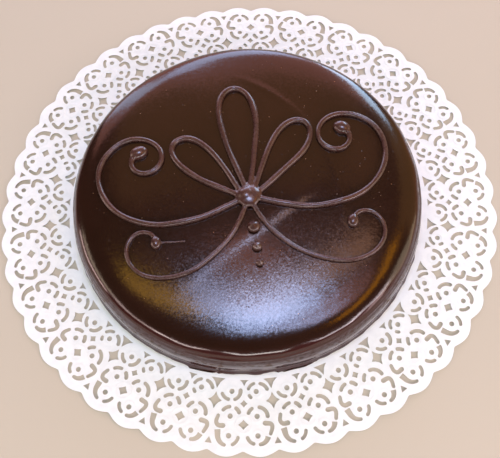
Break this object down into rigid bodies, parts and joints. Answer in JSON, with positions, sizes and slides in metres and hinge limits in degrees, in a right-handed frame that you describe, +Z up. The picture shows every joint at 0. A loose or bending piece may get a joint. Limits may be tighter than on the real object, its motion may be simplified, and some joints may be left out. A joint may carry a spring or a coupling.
{
  "type": "glazed chocolate torte on a lace paper",
  "caption": "Low round torte under smooth dark chocolate glaze, with a piped chocolate flourish and loose drops on top, on a round lace paper.",
  "frame": {"origin": "under the middle of the lace paper, on the surface that it rests on", "axes": "+Z up, +X to the right and +Y away when the cake is seen from its front"},
  "size_m": [0.36, 0.36, 0.0422],
  "materials": {
    "glaze": "smooth dark chocolate glaze with a silky shine",
    "piping": "satin piped chocolate, lighter and duller than the glaze",
    "paper": "white embossed lace paper"
  },
  "bodies": {
    "root": {"glazed_torte": "glaze", "lace_paper": "paper", "piped_flourish": "piping", "piped_bead_1": "piping", "piped_bead_2": "piping", "piped_bead_3": "piping"}
  },
  "joints": []
}
